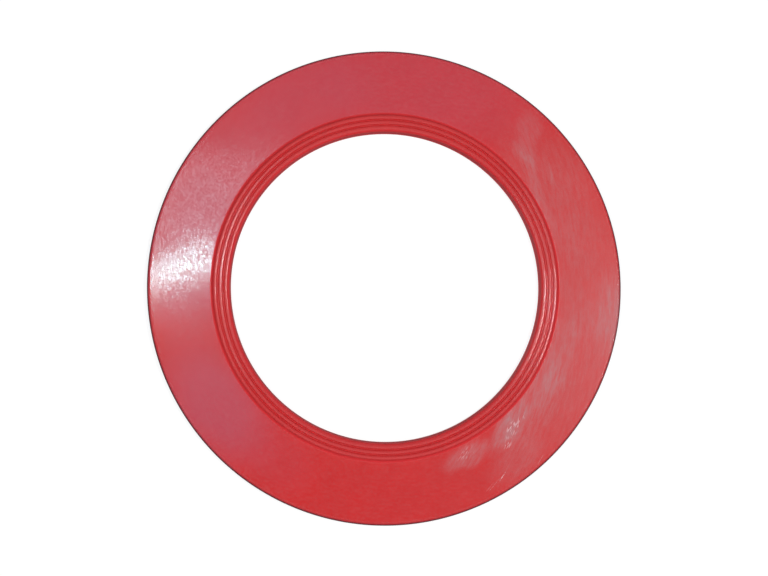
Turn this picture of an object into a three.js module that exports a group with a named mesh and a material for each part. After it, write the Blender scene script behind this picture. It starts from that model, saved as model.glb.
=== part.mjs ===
// Flush valve seal: a soft rubber ring, moulded in one piece.
// It is a broad flat flange with a raised collar of round beads at its bore.
// Millimetres, +Z up. The origin is the centre of the flat underside, and the beads are on top.

import * as THREE from "three";

// Driving dimensions

const OUTSIDE_DIAMETER = 86;
const BORE_DIAMETER = 56;
const FLANGE_THICKNESS = 2;
// The flange's outer edge is rounded on both faces.
const RIM_EDGE_RADIUS = 0.5;
// The bore is rounded at the underside, then straight, then opens out to the first bead.
const BORE_EDGE_RADIUS = 0.2;
const BORE_LAND_HEIGHT = 0.8;
const SHOULDER_RADIUS = 0.62;
const FIRST_BEAD_INSET = 0.92;
// The beads stand on a collar, which lifts the floor of their grooves above the flange.
const COLLAR_RISE = 0.28;
const BEAD_COUNT = 3;
const BEAD_PITCH = 0.95;
const BEAD_HEIGHT = 0.32;
const GROOVE_RADIUS = 0.08;

// Fineness of the facets

const TURN_SEGMENTS = 96;
const CHORD_ERROR = 0.01;
const SAME_POINT = 1e-6;

// Sizes worked out from the driving dimensions

const UP = Math.PI / 2;
const DOWN = -Math.PI / 2;
const OUTWARD = 0;
const INWARD = Math.PI;

const outerRadius = OUTSIDE_DIAMETER / 2;
const boreRadius = BORE_DIAMETER / 2;
const rimRadius = Math.min(RIM_EDGE_RADIUS, FLANGE_THICKNESS / 2);
const grooveFloorHeight = FLANGE_THICKNESS + COLLAR_RISE;
const crestHeight = grooveFloorHeight + BEAD_HEIGHT;
const firstCrestRadius = boreRadius + FIRST_BEAD_INSET;

// A crown and the groove beside it touch, half a pitch apart and one bead height apart.
const crownAndGroove = ((BEAD_PITCH / 2) ** 2 + BEAD_HEIGHT ** 2) / (2 * BEAD_HEIGHT);
const crownRadius = crownAndGroove - GROOVE_RADIUS;
const crownCentreHeight = crestHeight - crownRadius;
const grooveCentreHeight = grooveFloorHeight + GROOVE_RADIUS;
const flankAngle = Math.atan2(BEAD_PITCH / 2, crownAndGroove - BEAD_HEIGHT);

// The last bead runs down its flank into a hollow foot that ends level with the flange.
const crownAndFoot = (crestHeight - FLANGE_THICKNESS) / (1 - Math.cos(flankAngle));
const footRadius = crownAndFoot - crownRadius;

function addPoint(section, radius, height) {
  const last = section.at(-1);
  if (last && Math.hypot(last.x - radius, last.y - height) < SAME_POINT) {
    return;
  }
  section.push(new THREE.Vector2(radius, height));
}

// Adds an arc about a centre, in steps that keep each chord close to the true curve.
function addArc(section, centreRadius, centreHeight, arcRadius, startAngle, endAngle) {
  const turn = endAngle - startAngle;
  const step = 2 * Math.acos(1 - CHORD_ERROR / arcRadius);
  const steps = Math.max(2, Math.ceil(Math.abs(turn) / step));
  for (let i = 0; i <= steps; i += 1) {
    const angle = startAngle + (turn * i) / steps;
    addPoint(
      section,
      centreRadius + arcRadius * Math.cos(angle),
      centreHeight + arcRadius * Math.sin(angle),
    );
  }
}

// The underside, from the bore's edge out to the rim, and up round the rim to the upper face
function addFlange(section) {
  addArc(section, boreRadius + BORE_EDGE_RADIUS, BORE_EDGE_RADIUS, BORE_EDGE_RADIUS, INWARD, INWARD + UP);
  addArc(section, outerRadius - rimRadius, rimRadius, rimRadius, DOWN, OUTWARD);
  addArc(section, outerRadius - rimRadius, FLANGE_THICKNESS - rimRadius, rimRadius, OUTWARD, UP);
}

// The beads, from the collar's foot on the flange in to the first crest
function addBeads(section) {
  const lastCrestRadius = firstCrestRadius + (BEAD_COUNT - 1) * BEAD_PITCH;
  const footCentreRadius = lastCrestRadius + crownAndFoot * Math.sin(flankAngle);
  addArc(section, footCentreRadius, FLANGE_THICKNESS + footRadius, footRadius, DOWN, DOWN - flankAngle);

  for (let bead = BEAD_COUNT - 1; bead > 0; bead -= 1) {
    const crest = firstCrestRadius + bead * BEAD_PITCH;
    const groove = crest - BEAD_PITCH / 2;
    addArc(section, crest, crownCentreHeight, crownRadius, UP - flankAngle, UP + flankAngle);
    addArc(section, groove, grooveCentreHeight, GROOVE_RADIUS, DOWN + flankAngle, DOWN - flankAngle);
  }
  addArc(section, firstCrestRadius, crownCentreHeight, crownRadius, UP - flankAngle, UP);
}

// The first bead's shoulder, and the slope that runs off it to the straight wall of the bore
function addShoulder(section) {
  const centreHeight = crestHeight - SHOULDER_RADIUS;
  const rise = centreHeight - BORE_LAND_HEIGHT;
  const toCentre = Math.atan2(rise, FIRST_BEAD_INSET);
  const slope = toCentre + Math.asin(SHOULDER_RADIUS / Math.hypot(rise, FIRST_BEAD_INSET));
  addArc(section, firstCrestRadius, centreHeight, SHOULDER_RADIUS, UP, UP + slope);
  addPoint(section, boreRadius, BORE_LAND_HEIGHT);
}

// The closed section of the ring: x is the radius and y is the height.
function ringSection() {
  const section = [];
  addFlange(section);
  addBeads(section);
  addShoulder(section);
  section.push(section[0].clone());
  return section;
}

// The lathe turns the section about Y, so the ring is then tipped to stand along +Z.
function makeSealRing() {
  const geometry = new THREE.LatheGeometry(ringSection(), TURN_SEGMENTS);
  geometry.rotateX(Math.PI / 2);
  const rubber = new THREE.MeshStandardMaterial({ color: 0xc83c40, roughness: 0.45, metalness: 0 });
  const ring = new THREE.Mesh(geometry, rubber);
  ring.name = "seal_ring";
  return ring;
}

const flushValveSeal = new THREE.Group();
flushValveSeal.add(makeSealRing());

export default flushValveSeal;
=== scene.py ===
# A red rubber seal for a toilet's flush valve: a flat ring with three round beads at its bore.
# Laid out as a Blender add-on and run as a script. Metres, +Z up, in the frame of the CAD model.

import math
from typing import NamedTuple

import bmesh
import bpy
from mathutils import Matrix, Quaternion, Vector


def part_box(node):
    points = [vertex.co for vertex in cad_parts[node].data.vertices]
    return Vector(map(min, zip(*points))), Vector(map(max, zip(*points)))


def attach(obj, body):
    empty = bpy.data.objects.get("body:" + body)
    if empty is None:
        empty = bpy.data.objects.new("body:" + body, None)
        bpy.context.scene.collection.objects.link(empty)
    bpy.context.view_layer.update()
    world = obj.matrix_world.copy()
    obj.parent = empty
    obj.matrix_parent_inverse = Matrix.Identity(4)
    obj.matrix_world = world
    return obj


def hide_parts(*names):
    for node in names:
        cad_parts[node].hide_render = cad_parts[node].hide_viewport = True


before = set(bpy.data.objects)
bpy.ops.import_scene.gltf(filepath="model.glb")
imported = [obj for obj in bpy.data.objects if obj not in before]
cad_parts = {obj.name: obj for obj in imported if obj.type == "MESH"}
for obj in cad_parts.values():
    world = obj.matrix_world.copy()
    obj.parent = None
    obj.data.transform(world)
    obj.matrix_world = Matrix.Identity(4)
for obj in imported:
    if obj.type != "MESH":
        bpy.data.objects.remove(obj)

bl_info = {
    "name": "Flush Valve Seal",
    "version": (1, 0, 0),
    "blender": (4, 5, 0),
    "location": "View3D > Sidebar > Seal",
    "description": "Moulds a red rubber flush valve seal and sets the stage for its picture",
    "category": "Object",
}

# Names in the CAD model

CAD_RING = "seal_ring"
CAD_BODY = "root"

# What this script makes

RING_NAME = "moulded_ring"

# Units, and the directions in which an arc of the section starts and ends

MM = 0.001
UP = math.pi / 2
DOWN = -math.pi / 2
OUTWARD = 0.0
INWARD = math.pi

# Sizes that both the ring and the stage need

CAD_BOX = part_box(CAD_RING)
CAD_DIAMETER = CAD_BOX[1].x - CAD_BOX[0].x
FLANGE_THICKNESS = 2 * MM


# Kinds of settings


def length(name, description, default):
    return bpy.props.FloatProperty(
        name=name, description=description, default=default, min=0.0, precision=5,
        subtype="DISTANCE", unit="LENGTH",
    )


def factor(name, description, default):
    return bpy.props.FloatProperty(
        name=name, description=description, default=default, min=0.0, max=1.0, subtype="FACTOR",
    )


def colour(name, description, default):
    return bpy.props.FloatVectorProperty(
        name=name, description=description, default=default, min=0.0, max=1.0, size=3, subtype="COLOR",
    )


def spot(name, description, default):
    return bpy.props.FloatVectorProperty(
        name=name, description=description, default=default, precision=5, size=3,
        subtype="TRANSLATION", unit="LENGTH",
    )


def angle(name, description, degrees):
    return bpy.props.FloatProperty(
        name=name, description=description, default=math.radians(degrees), subtype="ANGLE", unit="ROTATION",
    )


def count(name, description, default, least=1):
    return bpy.props.IntProperty(name=name, description=description, default=default, min=least)


# The settings


class SealSizes(bpy.types.PropertyGroup):
    """Sizes of the moulded ring: the solid's, and those of its finer surface"""

    outside_diameter: length("Outside Diameter", "Across the flange", CAD_DIAMETER)
    bore_diameter: length("Bore Diameter", "Across the straight wall of the bore", 56 * MM)
    flange_thickness: length("Flange Thickness", "From the underside to the upper face", FLANGE_THICKNESS)
    rim_edge_radius: length("Rim Edge Radius", "Round of the outer edge on both faces", 0.5 * MM)
    bore_edge_radius: length("Bore Edge Radius", "Round of the bore at the underside", 0.2 * MM)
    bore_land_height: length("Bore Land Height", "Top of the bore's straight wall", 0.8 * MM)
    shoulder_radius: length("Shoulder Radius", "Round from the first bead into the bore", 0.62 * MM)
    first_bead_inset: length("First Bead Inset", "From the bore to the first crest", 0.92 * MM)
    collar_rise: length("Collar Rise", "From the flange's face to the grooves' floor", 0.28 * MM)
    bead_count: count("Beads", "Round beads on the collar", 3)
    bead_pitch: length("Bead Pitch", "From one crest to the next", 0.95 * MM)
    bead_height: length("Bead Height", "From a groove's floor to a crest", 0.32 * MM)
    groove_radius: length("Groove Radius", "Round at the floor of a groove", 0.08 * MM)
    crest_wear: length("Crest Wear", "How far the middle bead's crest is worn flat", 0.003 * MM)
    chord_error: length("Chord Error", "How far a facet may fall inside an arc", 0.001 * MM)
    face_guard: length("Face Guard", "Narrow strip that keeps a flat face's shading flat", 0.12 * MM)
    turn_segments: count("Turn Segments", "Facets round the ring", 720, least=12)


class RubberFinish(bpy.types.PropertyGroup):
    """Colours and gloss of the rubber, among them painted sheen, painted shade and painted fill light"""

    red: colour("Red", "Clean moulded rubber", (0.575, 0.010, 0.012))
    # Partly painted sheen: whitish wiped smears, laid where the lamps' sheen falls on the right of the
    # flange.
    haze_and_sheen: colour("Haze And Sheen", "Whitish film left by handling", (0.45, 0.20, 0.215))
    # Painted sheen: a cool whitish colour laid round the glint on the left and over the top, where the
    # lamps' broad sheen falls.
    painted_sheen: colour("Painted Sheen", "Cool waxy bloom of the rubber", (0.46, 0.08, 0.13))
    fleck: colour("Fleck", "Bright scuffed spots", (0.80, 0.45, 0.47))
    # Painted shade: a dark colour on the rim's round and on the bore's steep wall.
    cut: colour("Painted Edge Shade", "Dark edge at the rim and the bore", (0.12, 0.016, 0.024))
    # Painted light: a paler red on the steep slope into the bore and in the hollow foot, where the lamps
    # leave shade.
    painted_fill_light: colour("Painted Fill Light", "Paler slope into the bore and hollow foot", (0.72, 0.026, 0.032))
    roughness: factor("Roughness", "Of the rubber under its skin", 0.24)
    haze_roughness: factor("Haze Roughness", "Of the film", 0.4)
    # The film on the beads is partly painted sheen. Those in the hollow foot and along the rim are painted
    # sheen, laid where the matt zones take away the skin's reflection.
    bead_film_and_sheen: factor("Bead Film And Sheen", "Thin even film on the beads and in the bore", 0.07)
    foot_sheen: factor("Foot Sheen", "More of it in the hollow foot of the beads", 0.07)
    rim_sheen: factor("Rim Sheen", "Film along the rim", 0.12)
    skin: factor("Skin", "Weight of the smooth moulded skin on the flange", 0.5)
    bead_skin: factor("Bead Skin", "Weight of the smooth moulded skin on the beads", 0.8)
    skin_roughness: factor("Skin Roughness", "Of the smooth moulded skin", 0.06)
    grain_height: length("Grain Height", "Relief of the fine grain", 0.0015 * MM)


class StageSettings(bpy.types.PropertyGroup):
    """Camera and floor"""

    camera_height: length("Camera Height", "Above the floor", 0.33)
    camera_tilt: angle("Camera Tilt", "Off the ring's axis", 5.2)
    camera_side: angle("Camera Side", "Which way it leans, from +X towards +Y", 216.0)
    camera_aim: spot("Camera Aim", "Point at the middle of the picture", (-0.00026, -0.00011, 0.0))
    view_width: length("View Width", "Width of the picture at the ring's upper face", 0.13885)
    floor_size: length("Floor Size", "Side of the square floor", 4.0)
    floor_colour: colour("Floor Colour", "Plain pale floor", (0.75, 0.75, 0.75))


class SealSettings(bpy.types.PropertyGroup):
    """Everything that the panel shows"""

    sizes: bpy.props.PointerProperty(type=SealSizes, name="Sizes", description="Sizes of the ring")
    finish: bpy.props.PointerProperty(type=RubberFinish, name="Finish", description="Look of the rubber")
    stage: bpy.props.PointerProperty(type=StageSettings, name="Stage", description="Camera and floor")


# The section of the ring, as points of radius and height


class Section:
    """A closed outline that is drawn with arcs and straight stretches."""

    SAME_POINT = 1e-9
    FEWEST_STEPS = 2

    def __init__(self, chord_error):
        self.chord_error = chord_error
        self.points = []

    def point(self, radius, height):
        """Adds a point, unless it is where the last one is."""
        new = Vector((radius, height))
        if not self.points or (self.points[-1] - new).length > self.SAME_POINT:
            self.points.append(new)

    def arc(self, centre, radius, start, end):
        """An arc between two directions from its centre."""
        step = 2 * math.acos(1 - self.chord_error / radius)
        steps = max(self.FEWEST_STEPS, math.ceil(abs(end - start) / step))
        for i in range(steps + 1):
            turned = start + (end - start) * i / steps
            self.point(centre[0] + radius * math.cos(turned), centre[1] + radius * math.sin(turned))

    def face(self, end, guard):
        """A straight stretch to a point, with a narrow strip at each end."""
        start = self.points[-1].copy()
        along = (Vector(end) - start).normalized()
        self.point(*(start + along * guard))
        self.point(*(start.lerp(Vector(end), 0.5)))
        self.point(*(Vector(end) - along * guard))


def ring_section(sizes):
    """The same outline as the solid's: underside, rim, flange, collar, beads and bore."""
    outer = sizes.outside_diameter / 2
    bore = sizes.bore_diameter / 2
    thick = sizes.flange_thickness
    rim = sizes.rim_edge_radius
    edge = sizes.bore_edge_radius
    pitch = sizes.bead_pitch
    groove_floor = thick + sizes.collar_rise
    crest_height = groove_floor + sizes.bead_height
    first_crest = bore + sizes.first_bead_inset
    last_crest = first_crest + (sizes.bead_count - 1) * pitch

    crown_and_groove = ((pitch / 2) ** 2 + sizes.bead_height ** 2) / (2 * sizes.bead_height)
    crown = crown_and_groove - sizes.groove_radius
    flank = math.atan2(pitch / 2, crown_and_groove - sizes.bead_height)
    crown_and_foot = (crest_height - thick) / (1 - math.cos(flank))
    foot = crown_and_foot - crown
    foot_centre = last_crest + crown_and_foot * math.sin(flank)

    section = Section(sizes.chord_error)
    section.arc((bore + edge, edge), edge, INWARD, INWARD + UP)
    section.face((outer - rim, 0.0), sizes.face_guard)
    section.arc((outer - rim, rim), rim, DOWN, OUTWARD)
    section.arc((outer - rim, thick - rim), rim, OUTWARD, UP)
    section.face((foot_centre, thick), sizes.face_guard)
    section.arc((foot_centre, thick + foot), foot, DOWN, DOWN - flank)
    for bead in range(sizes.bead_count - 1, 0, -1):
        crest = first_crest + bead * pitch
        worn = math.acos(1 - sizes.crest_wear / crown) if bead == 1 else 0.0
        section.arc((crest, crest_height - crown), crown, UP - flank, UP - worn)
        if worn:
            flat_end = (crest - crown * math.sin(worn), crest_height - sizes.crest_wear)
            section.face(flat_end, sizes.crest_wear)
        section.arc((crest, crest_height - crown), crown, UP + worn, UP + flank)
        groove = (crest - pitch / 2, groove_floor + sizes.groove_radius)
        section.arc(groove, sizes.groove_radius, DOWN + flank, DOWN - flank)
    section.arc((first_crest, crest_height - crown), crown, UP - flank, UP)

    shoulder = sizes.shoulder_radius
    rise = crest_height - shoulder - sizes.bore_land_height
    reach = math.hypot(rise, sizes.first_bead_inset)
    slope = math.atan2(rise, sizes.first_bead_inset) + math.asin(shoulder / reach)
    section.arc((first_crest, crest_height - shoulder), shoulder, UP, UP + slope)
    section.point(bore, sizes.bore_land_height)
    return section.points


def section_curve(sizes):
    """The section as a closed flat curve, measured out from the bore's wall."""
    points = ring_section(sizes)
    bore = sizes.bore_diameter / 2
    curve = bpy.data.curves.new("ring_section", "CURVE")
    curve.dimensions = "3D"
    spline = curve.splines.new("POLY")
    spline.points.add(len(points) - 1)
    for made, point in zip(spline.points, points):
        made.co = (point.x - bore, point.y, 0.0, 1.0)
    spline.use_cyclic_u = True
    drawn = bpy.data.objects.new("ring_section", curve)
    bpy.context.scene.collection.objects.link(drawn)
    return drawn


# The ring, turned from its section by Geometry Nodes


def turning_tree():
    """A tree that carries a section round a circle and makes it one closed skin."""
    tree = bpy.data.node_groups.new("turn_section", "GeometryNodeTree")
    sockets = {}
    for name, kind in {
        "Section": "NodeSocketObject",
        "Bore Radius": "NodeSocketFloat",
        "Turn Segments": "NodeSocketInt",
        "Rubber": "NodeSocketMaterial",
    }.items():
        sockets[name] = tree.interface.new_socket(name, in_out="INPUT", socket_type=kind).identifier
    tree.interface.new_socket("Geometry", in_out="OUTPUT", socket_type="NodeSocketGeometry")

    given = tree.nodes.new("NodeGroupInput")
    section = tree.nodes.new("GeometryNodeObjectInfo")
    stand_up = tree.nodes.new("GeometryNodeTransform")
    stand_up.inputs["Rotation"].default_value = (math.pi, 0.0, 0.0)
    path = tree.nodes.new("GeometryNodeCurvePrimitiveCircle")
    sweep = tree.nodes.new("GeometryNodeCurveToMesh")
    flip = tree.nodes.new("GeometryNodeFlipFaces")
    smooth = tree.nodes.new("GeometryNodeSetShadeSmooth")
    realize = tree.nodes.new("GeometryNodeRealizeInstances")
    dress = tree.nodes.new("GeometryNodeSetMaterial")
    result = tree.nodes.new("NodeGroupOutput")

    join = tree.links.new
    join(given.outputs["Section"], section.inputs["Object"])
    join(section.outputs["Geometry"], stand_up.inputs["Geometry"])
    join(given.outputs["Turn Segments"], path.inputs["Resolution"])
    join(given.outputs["Bore Radius"], path.inputs["Radius"])
    join(path.outputs["Curve"], sweep.inputs["Curve"])
    join(stand_up.outputs["Geometry"], sweep.inputs["Profile Curve"])
    join(sweep.outputs["Mesh"], flip.inputs["Mesh"])
    join(flip.outputs["Mesh"], smooth.inputs["Geometry"])
    join(smooth.outputs["Geometry"], realize.inputs["Geometry"])
    join(realize.outputs["Geometry"], dress.inputs["Geometry"])
    join(given.outputs["Rubber"], dress.inputs["Material"])
    join(dress.outputs["Geometry"], result.inputs["Geometry"])
    return tree, sockets


def turn_ring(sizes, rubber):
    """Turns the section into the ring and leaves a plain closed mesh."""
    drawn = section_curve(sizes)
    tree, sockets = turning_tree()
    ring = bpy.data.objects.new(RING_NAME, bpy.data.meshes.new(RING_NAME))
    bpy.context.scene.collection.objects.link(ring)
    turning = ring.modifiers.new("turn", "NODES")
    turning.node_group = tree
    turning[sockets["Section"]] = drawn
    turning[sockets["Bore Radius"]] = sizes.bore_diameter / 2
    turning[sockets["Turn Segments"]] = sizes.turn_segments
    turning[sockets["Rubber"]] = rubber

    graph = bpy.context.evaluated_depsgraph_get()
    turned = bpy.data.meshes.new_from_object(ring.evaluated_get(graph), depsgraph=graph)
    ring.modifiers.clear()
    empty = ring.data
    ring.data = turned
    bpy.data.meshes.remove(empty)
    turned.name = RING_NAME
    bpy.data.objects.remove(drawn)
    bpy.data.node_groups.remove(tree)
    check_closed(turned)
    return ring


def check_closed(mesh):
    """Raises an error unless the mesh is one closed skin whose faces point outwards."""
    solid = bmesh.new()
    solid.from_mesh(mesh)
    closed = all(edge.is_manifold for edge in solid.edges)
    volume = solid.calc_volume(signed=True)
    solid.free()
    if not closed or volume <= 0:
        raise RuntimeError(f"{mesh.name} isn't a closed skin with its faces outwards")


# Shader nodes


class Fade(NamedTuple):
    """A smooth change from low to high, while a value goes from start to end."""

    start: float
    end: float
    low: float = 0.0
    high: float = 1.0


class Bench:
    """Adds nodes to one shader tree and joins them. An input is a value or another node's output."""

    def __init__(self, tree):
        self.tree = tree

    def feed(self, socket, value):
        if isinstance(value, bpy.types.NodeSocket):
            self.tree.links.new(value, socket)
        else:
            socket.default_value = value

    def node(self, kind, settings=None, inputs=None):
        made = self.tree.nodes.new(kind)
        for name, value in (settings or {}).items():
            setattr(made, name, value)
        for name, value in (inputs or {}).items():
            self.feed(made.inputs[name], value)
        return made

    def math(self, operation, *values):
        made = self.node("ShaderNodeMath", {"operation": operation}, dict(enumerate(values)))
        return made.outputs[0]

    def vector(self, operation, *values, scale=None):
        made = self.node("ShaderNodeVectorMath", {"operation": operation}, dict(enumerate(values)))
        if scale is not None:
            self.feed(made.inputs["Scale"], scale)
        return made.outputs["Value" if operation == "LENGTH" else "Vector"]

    def noise(self, place, size=1.0, detail=2.0, roughness=0.5, output="Fac"):
        """A noise whose forms are about as wide as the size."""
        made = self.node("ShaderNodeTexNoise", inputs={
            "Vector": place, "Scale": 1 / size, "Detail": detail, "Roughness": roughness,
        })
        return made.outputs[output]

    def fade(self, value, fade, line=0.0, strength=1.0):
        """A fade with its start and end measured from a line, and its low and high times a strength."""
        made = self.node("ShaderNodeMapRange", {"interpolation_type": "SMOOTHSTEP"}, {
            "Value": value,
            "From Min": line + fade.start,
            "From Max": line + fade.end,
            "To Min": fade.low * strength,
            "To Max": fade.high * strength,
        })
        return made.outputs["Result"]

    def mix(self, amount, first, second):
        """Two numbers, mixed."""
        made = self.node("ShaderNodeMix", {"data_type": "FLOAT"}, {0: amount, 2: first, 3: second})
        return made.outputs[0]

    def blend(self, amount, first, second):
        """Two colours, mixed."""
        made = self.node("ShaderNodeMix", {"data_type": "RGBA"}, {0: amount, 6: first, 7: second})
        return made.outputs[2]


def opaque(tint):
    """A colour of three parts as a colour socket takes it."""
    return (*tint, 1.0)


# Marks on the rubber


class Mark(NamedTuple):
    """A soft oval on the flange's upper face. Sizes are in millimetres, and strength is 0 to 1."""

    x: float
    y: float
    half_length: float
    half_width: float
    turn: float
    strength: float


# Haze on the right of the flange: wiped smears with painted sheen in them
HAZE_AND_SHEEN_MARKS = (
    Mark(33.5, -9.0, 28.0, 14.0, 78, 0.145),
    Mark(29.8, 16.5, 18.0, 9.0, 120, 0.17),
    Mark(41.0, -5.0, 11.0, 4.0, 85, 0.31),
    Mark(27.0, -20.5, 13.0, 5.5, 56, 0.22),
    Mark(22.3, -25.3, 7.5, 3.0, 54, 0.46),
    Mark(14.8, -30.4, 6.5, 2.8, 28, 0.32),
    Mark(27.3, 18.2, 11.0, 1.5, 110, 0.17),
    Mark(25.2, 24.8, 3.8, 2.2, 110, 0.20),
    Mark(26.3, 29.2, 4.5, 3.2, 100, 0.16),
    Mark(30.2, 20.4, 3.6, 0.5, 107, 0.16),
    Mark(31.0, -13.0, 12.0, 3.5, 68, 0.21),
    Mark(24.0, -31.0, 8.5, 4.5, 46, 0.18),
    Mark(34.5, 21.5, 9.0, 3.5, 122, 0.07),
    Mark(35.0, -6.0, 5.5, 4.5, 85, 0.08),
)

# Where the painted sheen lies: round the glint on the left and over the top of the flange
PAINTED_SHEEN_MARKS = (
    Mark(-29.5, 15.0, 31.0, 19.0, 68, 0.38),
    Mark(-32.5, 5.0, 20.0, 15.0, 80, 0.29),
    Mark(-30.5, -21.0, 17.0, 11.0, 128, 0.54),
    Mark(-19.0, -31.0, 9.0, 8.0, 140, 0.10),
    Mark(4.0, 36.0, 35.0, 16.0, -6, 0.30),
    Mark(-15.0, 34.5, 17.0, 12.0, 22, 0.20),
)

SCUFF_MARKS = (
    Mark(22.6, -25.3, 1.6, 0.8, 60, 0.75),
    Mark(23.6, -25.2, 4.4, 1.0, 54, 0.5),
    Mark(22.0, -28.6, 1.2, 0.8, 50, 0.55),
    Mark(14.5, -30.0, 2.6, 1.2, 35, 0.4),
)

SCRATCH_MARKS = (
    Mark(21.1, -34.2, 1.4, 0.12, 57, 1.0),
    Mark(19.5, -35.8, 1.8, 0.08, 50, 0.5),
    Mark(18.7, -36.2, 1.6, 0.08, 50, 0.4),
    Mark(28.0, -31.2, 1.3, 0.10, 60, 0.45),
)

# A mark is at its full strength out to this share of its size.
MARK_HEART = 0.25


def add_marks(bench, place, marks):
    """How much of the surface a list of soft ovals covers, at each point."""
    clean = 1.0
    for mark in marks:
        laid = bench.node("ShaderNodeMapping", {"vector_type": "TEXTURE"}, {
            "Vector": place,
            "Location": (mark.x, mark.y, 0.0),
            "Rotation": (0.0, 0.0, math.radians(mark.turn)),
            "Scale": (mark.half_length, mark.half_width, 1.0),
        })
        distance = bench.vector("LENGTH", laid.outputs["Vector"])
        left_clean = bench.fade(distance, Fade(1.0, MARK_HEART, low=1.0, high=1.0 - mark.strength))
        clean = bench.math("MULTIPLY", clean, left_clean)
    return bench.math("SUBTRACT", 1.0, clean)


# Textures of the rubber

# Their sizes, in millimetres
STREAK_LENGTH = 1.2
STREAK_WIDTH = 0.14
WIPE_LENGTH = 4.0
WIPE_WIDTH = 0.55
HAIR_LENGTH = 1.0
HAIR_WIDTH = 0.2
GRAIN_SIZE = 0.11
SPECK_SIZE = 0.17
RIPPLE_SIZE = 2.0
MOTTLE_SIZE = 4.5
SWELL_SIZE = 16.0

# The haze was wiped in curves about this point, far to the left of it, in millimetres.
WIPE_CENTRE = (-39.0, 0.0)

# How far the outlines of the marks wander, and over what distance, in millimetres
WANDER = 2.0
WANDER_SIZE = 4.0
NOISE_MIDDLE = (0.5, 0.5, 0.5)

# How a texture's values come out as a share or as a factor
WIPED_HAZE = Fade(0.3, 0.7, low=0.6, high=1.4)
HAIR_HAZE = Fade(0.3, 0.7, low=0.86, high=1.14)
SCUFFED_HAIRS = Fade(0.56, 0.68)
SCRATCHED_GRAIN = Fade(0.42, 0.6)
MOTTLE_SHARE = Fade(0.3, 0.7)
GRAIN_DULLNESS = Fade(0.3, 0.7, low=-0.03, high=0.03)
STREAKY_SKIN = Fade(0.3, 0.7, low=0.65, high=1.35)
SPECKLED_SKIN = Fade(0.2, 0.8, low=0.3, high=1.6)

# How high the parts of the relief are, next to the streaks
GRAIN_SHARPNESS = 2.0
GRAIN_RELIEF = 0.7
RIPPLE_RELIEF = 1.0
SWELL_RELIEF = 9.5


def run_round(bench, place, centre, reach, long, wide):
    """Coordinates that draw a texture out along circles about a centre, truest at a reach from it."""
    out = bench.vector("SUBTRACT", place, (*centre, 0.0))
    turned = bench.vector("SCALE", bench.vector("NORMALIZE", out), scale=reach / long)
    across = bench.math("MULTIPLY", bench.vector("LENGTH", out), 1 / wide)
    raised = bench.node("ShaderNodeCombineXYZ", inputs={"Z": across}).outputs["Vector"]
    return bench.vector("ADD", turned, raised)


# Zones of the rubber, in millimetres

# From the middle bead's crest to the outer edge of the collar
COLLAR_REACH = 1.75

# Radii, from the outer edge of the collar
FLANGE_ZONE = Fade(-0.1, 0.2)
BEAD_ZONE = Fade(0.4, 0.0)
FOOT_INNER_SIDE = Fade(-0.55, -0.4)
FOOT_OUTER_SIDE = Fade(0.15, 0.0)
BUMP_ZONE = Fade(0.0, 0.4, low=0.1)

# Radii, from where the rim's round starts
RIM_SHEEN_ZONE = Fade(-0.3, 0.05)
# Where the painted shade on the rim's round begins and is full
RIM_PAINTED_SHADE_ZONE = Fade(0.05, 0.4)
RIM_MATT_ZONE = Fade(-0.08, 0.0)

# Radii, from the bore's straight wall
BORE_ZONE = Fade(0.7, 0.4)

# Heights, from the flange's upper face and from the underside
UPPER_FACE = Fade(-0.3, -0.05)
ABOVE_UNDERSIDE = Fade(0.1, 0.4)
# Heights between which the bore's steep wall carries painted shade
BORE_PAINTED_SHADE_ABOVE = Fade(2.0, 1.5, high=0.45)
BORE_PAINTED_SHADE_BELOW = Fade(0.6, 1.2, low=0.15)

# Where the skin is kept on the beads, by how far they are to the front or the back, and where it is lost at
# the left: on all of them a little, and more on those either side of the middle bead's crest
BEADS_AT_SIDES = Fade(26.0, 12.0, low=0.5)
BEADS_AT_LEFT = Fade(-14.0, -25.0)
OUTER_BEAD_LOSS = Fade(0.35, 0.5, high=0.45)
BEAD_LOSS = 0.15

# The skin is gone where the hollow foot is deepest, and this share of it is gone where the rubber is matt.
FOOT_SKIN = Fade(1.0, 0.0)
MATT_LOSS = 0.75


# The rubber

# The index of refraction of rubber, and how strongly the rough rubber under the skin shines
RUBBER_IOR = 1.41
UNDER_SHINE = 0.25

# How much paler the mottled places are, and how much of the bore's painted fill light the hollow foot has
MOTTLE_LIFT = 1.05
FOOT_PALENESS = 0.5


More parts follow.
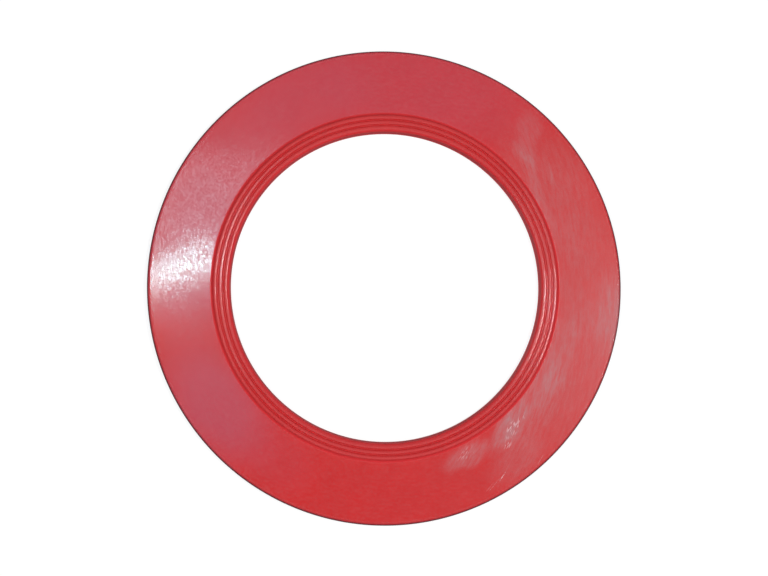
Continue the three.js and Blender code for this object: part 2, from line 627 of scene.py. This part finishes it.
class RubberTree:
    """The nodes of the satin red rubber, with positions in millimetres."""

    def __init__(self, tree, sizes, finish):
        bench = Bench(tree)
        self.bench = bench
        self.finish = finish

        self.face = sizes.flange_thickness / MM
        self.bore_wall = sizes.bore_diameter / 2 / MM
        self.middle_crest = (sizes.bore_diameter / 2 + sizes.first_bead_inset + sizes.bead_pitch) / MM
        self.collar_edge = self.middle_crest + COLLAR_REACH
        self.flange_middle = (sizes.outside_diameter + sizes.bore_diameter) / 4 / MM
        self.rim_start = (sizes.outside_diameter / 2 - sizes.rim_edge_radius) / MM

        position = bench.node("ShaderNodeTexCoord").outputs["Object"]
        self.place = bench.vector("SCALE", position, scale=1 / MM)
        self.flat = bench.vector("MULTIPLY", self.place, (1.0, 1.0, 0.0))
        self.radius = bench.vector("LENGTH", self.flat)
        self.along = bench.node("ShaderNodeSeparateXYZ", inputs={"Vector": self.place}).outputs

        self.add_textures()
        self.add_zones()
        self.haze_and_sheen = self.film()

    def wiped(self, long, wide):
        """Coordinates that run the way the haze was wiped."""
        reach = self.flange_middle - WIPE_CENTRE[0]
        return run_round(self.bench, self.flat, WIPE_CENTRE, reach, long, wide)

    def add_textures(self):
        """Fine streaks that run round the ring, hairs that run with the wiped strokes, and an even grain."""
        bench = self.bench
        round_ring = run_round(
            bench, self.flat, (0.0, 0.0), self.flange_middle, STREAK_LENGTH, STREAK_WIDTH,
        )
        self.streaks = bench.noise(round_ring, detail=0.0)
        self.hairs = bench.noise(self.wiped(HAIR_LENGTH, HAIR_WIDTH), detail=0.0)
        self.grain = bench.noise(self.place, GRAIN_SIZE, detail=0.0)

        # Marks are laid on a slightly wandering copy of the surface, so that their edges aren't true ovals.
        wander = bench.noise(self.place, WANDER_SIZE, output="Color")
        shift = bench.vector("SUBTRACT", wander, NOISE_MIDDLE)
        wandering = bench.vector("ADD", self.flat, bench.vector("SCALE", shift, scale=WANDER))
        self.wandering = bench.vector("MULTIPLY", wandering, (1.0, 1.0, 0.0))

    def add_zones(self):
        """How far each point belongs to each zone of the surface."""
        bench = self.bench
        radius = self.radius
        height = self.along["Z"]
        edge = self.collar_edge
        above = bench.fade(height, ABOVE_UNDERSIDE)
        upper = bench.fade(height, UPPER_FACE, self.face)
        self.on_flange = bench.math("MULTIPLY", upper, bench.fade(radius, FLANGE_ZONE, edge))
        self.on_beads = bench.math("MULTIPLY", above, bench.fade(radius, BEAD_ZONE, edge))
        in_foot = bench.math(
            "MULTIPLY", bench.fade(radius, FOOT_INNER_SIDE, edge), bench.fade(radius, FOOT_OUTER_SIDE, edge),
        )
        self.in_foot = bench.math("MULTIPLY", in_foot, above)
        self.in_bore = bench.fade(radius, BORE_ZONE, self.bore_wall)

        # The rim's round and the steep wall of the bore are matt, and carry painted shade: a dark colour on
        # their steepest parts.
        painted_shade_height = bench.math(
            "MULTIPLY", bench.fade(height, BORE_PAINTED_SHADE_ABOVE), bench.fade(height, BORE_PAINTED_SHADE_BELOW),
        )
        bore_painted_shade = bench.math("MULTIPLY", self.in_bore, painted_shade_height)
        self.cut = bench.math("MAXIMUM", bench.fade(radius, RIM_PAINTED_SHADE_ZONE, self.rim_start), bore_painted_shade)
        self.matt = bench.math("MAXIMUM", bench.fade(radius, RIM_MATT_ZONE, self.rim_start), self.in_bore)

    def marks(self, place, marks):
        """What a list of marks covers of the flange."""
        return self.bench.math("MULTIPLY", add_marks(self.bench, place, marks), self.on_flange)

    def film(self):
        """The whitish haze with painted sheen in it: wiped marks on the flange, and a thin even film on the
        beads and the rim.
        """
        bench = self.bench
        finish = self.finish
        strokes = bench.noise(self.wiped(WIPE_LENGTH, WIPE_WIDTH), detail=3.0, roughness=0.6)
        streaky = bench.math("MULTIPLY", bench.fade(strokes, WIPED_HAZE), bench.fade(self.hairs, HAIR_HAZE))
        haze_and_sheen = bench.math("MULTIPLY", self.marks(self.wandering, HAZE_AND_SHEEN_MARKS), streaky)
        # Painted sheen, in part on the beads and fully in the foot and along the rim
        haze_and_sheen = bench.math("MULTIPLY_ADD", self.on_beads, finish.bead_film_and_sheen, haze_and_sheen)
        haze_and_sheen = bench.math("MULTIPLY_ADD", self.in_foot, finish.foot_sheen, haze_and_sheen)
        on_rim = bench.fade(self.radius, RIM_SHEEN_ZONE, self.rim_start, finish.rim_sheen)
        return bench.math("ADD", haze_and_sheen, on_rim)

    def flecks(self):
        """Bright spots where hairs cross the scuffs, and bright broken lines along the scratches."""
        bench = self.bench
        scuffs = self.marks(self.flat, SCUFF_MARKS)
        scratches = self.marks(self.flat, SCRATCH_MARKS)
        spots = bench.math("MULTIPLY", scuffs, bench.fade(self.hairs, SCUFFED_HAIRS))
        lines = bench.math("MULTIPLY", scratches, bench.fade(self.grain, SCRATCHED_GRAIN))
        return bench.math("MAXIMUM", spots, lines)

    def colour(self):
        """Slightly mottled red, with each layer of colour over the last."""
        bench = self.bench
        finish = self.finish
        mottle = bench.noise(self.place, MOTTLE_SIZE, detail=3.0, roughness=0.55)
        pale_red = [min(1.0, part * MOTTLE_LIFT) for part in finish.red]
        # Painted light: the bore's slope and half of the hollow foot are painted paler, in place of fill
        # light.
        pale = bench.math("MAXIMUM", self.in_bore, bench.math("MULTIPLY", self.in_foot, FOOT_PALENESS))
        base = bench.blend(bench.fade(mottle, MOTTLE_SHARE), opaque(finish.red), opaque(pale_red))
        # Layers over the red: painted sheen, haze with painted sheen, flecks, painted fill light in the bore
        # and foot, and painted edge shade
        for amount, tint in (
            (self.marks(self.wandering, PAINTED_SHEEN_MARKS), finish.painted_sheen),
            (self.haze_and_sheen, finish.haze_and_sheen),
            (self.flecks(), finish.fleck),
            (pale, finish.painted_fill_light),
            (self.cut, finish.cut),
        ):
            base = bench.blend(amount, base, opaque(tint))
        return base

    def dullness(self):
        """The roughness: more under the haze and its painted sheen, uneven with the grain, and full where
        the rubber is matt.
        """
        bench = self.bench
        finish = self.finish
        more = finish.haze_roughness - finish.roughness
        dull = bench.math("MULTIPLY_ADD", self.haze_and_sheen, more, finish.roughness)
        dull = bench.math("ADD", dull, bench.fade(self.grain, GRAIN_DULLNESS))
        return bench.math("MAXIMUM", dull, bench.math("MAXIMUM", self.matt, self.in_foot))

    def relief(self):
        """The bump of streaks, grain, ripples and a broad swell, which is faint on the beads."""
        bench = self.bench
        height = self.streaks
        for texture, share in (
            (bench.math("POWER", self.grain, GRAIN_SHARPNESS), GRAIN_RELIEF),
            (bench.noise(self.place, RIPPLE_SIZE, detail=1.0), RIPPLE_RELIEF),
            (bench.noise(self.place, SWELL_SIZE, detail=1.0), SWELL_RELIEF),
        ):
            height = bench.math("MULTIPLY_ADD", texture, share, height)
        bump = bench.node("ShaderNodeBump", inputs={
            "Strength": bench.fade(self.radius, BUMP_ZONE, self.collar_edge),
            "Distance": self.finish.grain_height,
            "Height": height,
        })
        return bump.outputs["Normal"]

    def bead_skin(self):
        """The smooth skin's weight on the beads, which is worn thin at the front, the back and the left."""
        bench = self.bench
        to_ends = bench.math("ABSOLUTE", self.along["Y"])
        off_middle = bench.math("ABSOLUTE", bench.math("SUBTRACT", self.radius, self.middle_crest))
        loss = bench.math("ADD", bench.fade(off_middle, OUTER_BEAD_LOSS), BEAD_LOSS)
        loss = bench.math("MULTIPLY", bench.fade(self.along["X"], BEADS_AT_LEFT), loss)
        kept = bench.math("SUBTRACT", 1.0, loss)
        kept = bench.math("MULTIPLY", bench.fade(to_ends, BEADS_AT_SIDES), kept)
        return bench.math("MULTIPLY", kept, self.finish.bead_skin)

    def skin(self):
        """The smooth skin's weight. On the flange, streaks and specks break it up."""
        bench = self.bench
        specks = bench.node("ShaderNodeTexVoronoi", inputs={"Vector": self.place, "Scale": 1 / SPECK_SIZE})
        flange_skin = bench.math(
            "MULTIPLY", bench.fade(self.streaks, STREAKY_SKIN, strength=self.finish.skin),
            bench.fade(specks.outputs["Color"], SPECKLED_SKIN),
        )
        skin = bench.mix(self.on_beads, flange_skin, self.bead_skin())
        kept_where_matt = bench.math("MULTIPLY_ADD", self.matt, -MATT_LOSS, 1.0)
        kept = bench.math("MINIMUM", kept_where_matt, bench.fade(self.in_foot, FOOT_SKIN))
        return bench.math("MULTIPLY", skin, kept)

    def finish_shader(self):
        """Joins the rough rubber and its clear smooth skin to the tree's output."""
        normal = self.relief()
        shader = self.bench.node("ShaderNodeBsdfPrincipled", inputs={
            "Base Color": self.colour(),
            "Roughness": self.dullness(),
            "IOR": RUBBER_IOR,
            "Specular IOR Level": UNDER_SHINE,
            "Coat Weight": self.skin(),
            "Coat Roughness": self.finish.skin_roughness,
            "Coat IOR": RUBBER_IOR,
            "Normal": normal,
            "Coat Normal": normal,
        })
        self.bench.node("ShaderNodeOutputMaterial", inputs={"Surface": shader.outputs["BSDF"]})


def rubber_material(sizes, finish):
    """Satin red rubber: streaks that run round the ring, a cool painted sheen, haze with painted sheen in
    patches, painted shade at the edges and painted fill light in the bore and foot.
    """
    rubber = bpy.data.materials.new("satin_red_rubber")
    rubber.use_nodes = True
    rubber.node_tree.nodes.clear()
    RubberTree(rubber.node_tree, sizes, finish).finish_shader()
    return rubber


# The floor and the world

WHITE = (1.0, 1.0, 1.0)

# How far the floor lies below the ring
FLOOR_DROP = 0.02 * MM

# To the eye the floor is mostly its own glow, and this much of it is a grey that takes shade.
FLOOR_GLOW = 0.86
FLOOR_SHADE = (0.18, 0.18, 0.18)

# The sky's light overhead, and how fast it falls off towards the horizon
SKY_STRENGTH = 0.44
SKY_FALL = 3.0


def white_to_the_eye(bench, seen, lit):
    """One shader where the surface is looked at, directly or by way of a surface that mirrors or lets
    light through, and another where it only lights."""
    ray = bench.node("ShaderNodeLightPath").outputs
    looked_at = bench.math("MAXIMUM", ray["Is Camera Ray"], ray["Is Glossy Ray"])
    looked_at = bench.math("MAXIMUM", looked_at, ray["Is Transmission Ray"])
    mixed = bench.node("ShaderNodeMixShader", inputs={0: looked_at, 1: lit, 2: seen})
    return mixed.outputs["Shader"]


def floor_material(stage):
    """White to the eye with a soft shade under the ring, and pale grey as the ring's light meets it."""
    pale = bpy.data.materials.new("pale_floor")
    pale.use_nodes = True
    pale.node_tree.nodes.clear()
    bench = Bench(pale.node_tree)
    lit = bench.node("ShaderNodeBsdfDiffuse", inputs={"Color": opaque(stage.floor_colour)})
    shaded = bench.node("ShaderNodeBsdfDiffuse", inputs={"Color": opaque(FLOOR_SHADE)})
    glow = bench.node("ShaderNodeEmission", inputs={"Color": opaque(WHITE), "Strength": FLOOR_GLOW})
    seen = bench.node("ShaderNodeAddShader", inputs={0: shaded.outputs["BSDF"], 1: glow.outputs["Emission"]})
    mixed = white_to_the_eye(bench, seen.outputs["Shader"], lit.outputs["BSDF"])
    bench.node("ShaderNodeOutputMaterial", inputs={"Surface": mixed})
    return pale


def lay_floor(stage):
    """A square floor, a hair below the ring so that no two faces lie in one plane."""
    floor_mesh = bpy.data.meshes.new("floor")
    half = stage.floor_size / 2
    corners = [(-half, -half), (half, -half), (half, half), (-half, half)]
    floor_mesh.from_pydata([(x, y, -FLOOR_DROP) for x, y in corners], [], [(0, 1, 2, 3)])
    floor_mesh.materials.append(floor_material(stage))
    floor = bpy.data.objects.new("floor", floor_mesh)
    bpy.context.scene.collection.objects.link(floor)


def light_world():
    """A sky that is white to the eye, and lights from overhead."""
    world = bpy.data.worlds.new("studio")
    bpy.context.scene.world = world
    world.use_nodes = True
    world.node_tree.nodes.clear()
    bench = Bench(world.node_tree)
    seen = bench.node("ShaderNodeBackground", inputs={"Color": opaque(WHITE), "Strength": 1.0})
    sky = bench.node("ShaderNodeTexCoord").outputs["Generated"]
    climb = bench.node("ShaderNodeSeparateXYZ", inputs={"Vector": sky}).outputs["Z"]
    overhead = bench.math("POWER", bench.math("MAXIMUM", climb, 0.0), SKY_FALL)
    light = bench.math("MULTIPLY", overhead, SKY_STRENGTH)
    lit = bench.node("ShaderNodeBackground", inputs={"Color": opaque(WHITE), "Strength": light})
    mixed = white_to_the_eye(bench, seen.outputs["Background"], lit.outputs["Background"])
    bench.node("ShaderNodeOutputWorld", inputs={"Surface": mixed})


# The camera and the lamps

COOL = (0.68, 1.0, 1.12)
GLINT = (0.50, 1.0, 1.02)

# The width of the camera's sensor in millimetres, and the distances between which it sees
SENSOR_WIDTH = 36.0
NEAREST = 0.01
FARTHEST = 20.0


class Lamp(NamedTuple):
    """A square-cornered soft lamp that faces a point. Brightness 1 is white, as it would be seen."""

    name: str
    place: tuple
    width: float
    height: float
    brightness: float
    colour: tuple = WHITE
    faces: tuple = (0.0, 0.0, 0.0)
    roll: float = 0.0


SIDE_LAMPS = (
    Lamp("left_box", (-0.36, 0.03, 0.62), 0.26, 0.56, 2.7),
    Lamp("right_box", (0.50, -0.008, 1.24), 0.20, 0.26, 46.0),
    Lamp("front_box", (0.05, -0.36, 0.46), 0.60, 0.40, 1.0),
)


class Reflection(NamedTuple):
    """A lamp, given by where on the flange its reflection is seen and how large, in millimetres.
    The lamp itself hangs at a height in metres."""

    name: str
    x: float
    y: float
    width: float
    depth: float
    roll: float
    hung: float
    brightness: float
    colour: tuple


REFLECTIONS = (
    Reflection("glint_lamp", -38.4, 2.9, 18.0, 4.3, 18.0, 0.50, 66.0, GLINT),
    Reflection("halo_lamp", -36.4, 1.6, 17.0, 9.0, 63.0, 0.51, 4.2, COOL),
    Reflection("glow_lamp", -33.0, 13.0, 30.0, 22.0, 0.0, 0.52, 5.5, COOL),
)


def facing(place, target):
    """The turn that looks from a place to a target, with the picture's top towards +Y."""
    back = (place - target).normalized()
    right = Vector((0.0, 1.0, 0.0)).cross(back).normalized()
    top = back.cross(right)
    return Matrix((right, top, back)).transposed().to_quaternion()


def camera_place(stage):
    lean = stage.camera_height * math.tan(stage.camera_tilt)
    side = stage.camera_side
    return Vector((lean * math.cos(side), lean * math.sin(side), stage.camera_height))


def mirror_lamp(camera, seen):
    """A lamp placed so that a camera sees its reflection as described, in the flange's flat face."""
    point = Vector((seen.x * MM, seen.y * MM, FLANGE_THICKNESS))
    share = (seen.hung - point.z) / (camera.z - point.z)
    place = Vector((
        point.x + (point.x - camera.x) * share,
        point.y + (point.y - camera.y) * share,
        seen.hung,
    ))
    spread = 1 + share
    return Lamp(
        seen.name, tuple(place), seen.width * MM * spread, seen.depth * MM * spread, seen.brightness,
        seen.colour, faces=(place.x, place.y, 0.0), roll=seen.roll,
    )


def hang_lamp(lamp):
    """An area lamp whose power gives the stated brightness."""
    data = bpy.data.lights.new(lamp.name, "AREA")
    data.shape = "RECTANGLE"
    data.size = lamp.width
    data.size_y = lamp.height
    data.energy = math.pi * lamp.width * lamp.height * lamp.brightness
    data.color = lamp.colour
    hung = bpy.data.objects.new(lamp.name, data)
    bpy.context.scene.collection.objects.link(hung)
    hung.location = lamp.place
    hung.rotation_mode = "QUATERNION"
    roll = Quaternion((0.0, 0.0, 1.0), math.radians(lamp.roll))
    hung.rotation_quaternion = facing(Vector(lamp.place), Vector(lamp.faces)) @ roll


def place_camera(stage):
    data = bpy.data.cameras.new("camera")
    data.sensor_width = SENSOR_WIDTH
    place = camera_place(stage)
    data.lens = data.sensor_width * (place.length - FLANGE_THICKNESS) / stage.view_width
    data.clip_start = NEAREST
    data.clip_end = FARTHEST
    camera = bpy.data.objects.new("camera", data)
    bpy.context.scene.collection.objects.link(camera)
    camera.location = place
    camera.rotation_mode = "QUATERNION"
    camera.rotation_quaternion = facing(place, Vector(stage.camera_aim))
    bpy.context.scene.camera = camera


def set_stage(stage):
    lay_floor(stage)
    light_world()
    for lamp in SIDE_LAMPS:
        hang_lamp(lamp)
    for seen in REFLECTIONS:
        hang_lamp(mirror_lamp(camera_place(stage), seen))
    place_camera(stage)
    bpy.context.scene.view_settings.view_transform = "Standard"


# The add-on's operators and panel


class FLUSHSEAL_OT_mould_ring(bpy.types.Operator):
    """Mould the rubber ring in place of the plain solid"""

    bl_idname = "flushseal.mould_ring"
    bl_label = "Mould Ring"

    def execute(self, context):
        settings = context.scene.flush_seal
        rubber = rubber_material(settings.sizes, settings.finish)
        ring = turn_ring(settings.sizes, rubber)
        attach(ring, CAD_BODY)
        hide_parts(CAD_RING)
        return {"FINISHED"}


class FLUSHSEAL_OT_set_stage(bpy.types.Operator):
    """Lay the floor, hang the lamps and place the camera"""

    bl_idname = "flushseal.set_stage"
    bl_label = "Set Stage"

    def execute(self, context):
        set_stage(context.scene.flush_seal.stage)
        return {"FINISHED"}


class FLUSHSEAL_PT_bench(bpy.types.Panel):
    """Sizes, finish and stage of the seal"""

    bl_idname = "FLUSHSEAL_PT_bench"
    bl_label = "Flush Valve Seal"
    bl_space_type = "VIEW_3D"
    bl_region_type = "UI"
    bl_category = "Seal"

    def draw(self, context):
        settings = context.scene.flush_seal
        for group in (settings.sizes, settings.finish, settings.stage):
            box = self.layout.box()
            for name in group.__annotations__:
                box.prop(group, name)
        self.layout.operator(FLUSHSEAL_OT_mould_ring.bl_idname)
        self.layout.operator(FLUSHSEAL_OT_set_stage.bl_idname)


CLASSES = (
    SealSizes,
    RubberFinish,
    StageSettings,
    SealSettings,
    FLUSHSEAL_OT_mould_ring,
    FLUSHSEAL_OT_set_stage,
    FLUSHSEAL_PT_bench,
)


def register():
    for made in CLASSES:
        bpy.utils.register_class(made)
    bpy.types.Scene.flush_seal = bpy.props.PointerProperty(
        type=SealSettings, name="Flush Valve Seal", description="Settings of the seal and its stage",
    )


def unregister():
    del bpy.types.Scene.flush_seal
    for made in reversed(CLASSES):
        bpy.utils.unregister_class(made)


def main():
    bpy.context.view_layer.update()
    register()
    bpy.ops.flushseal.mould_ring()
    bpy.ops.flushseal.set_stage()


if __name__ == "__main__":
    main()
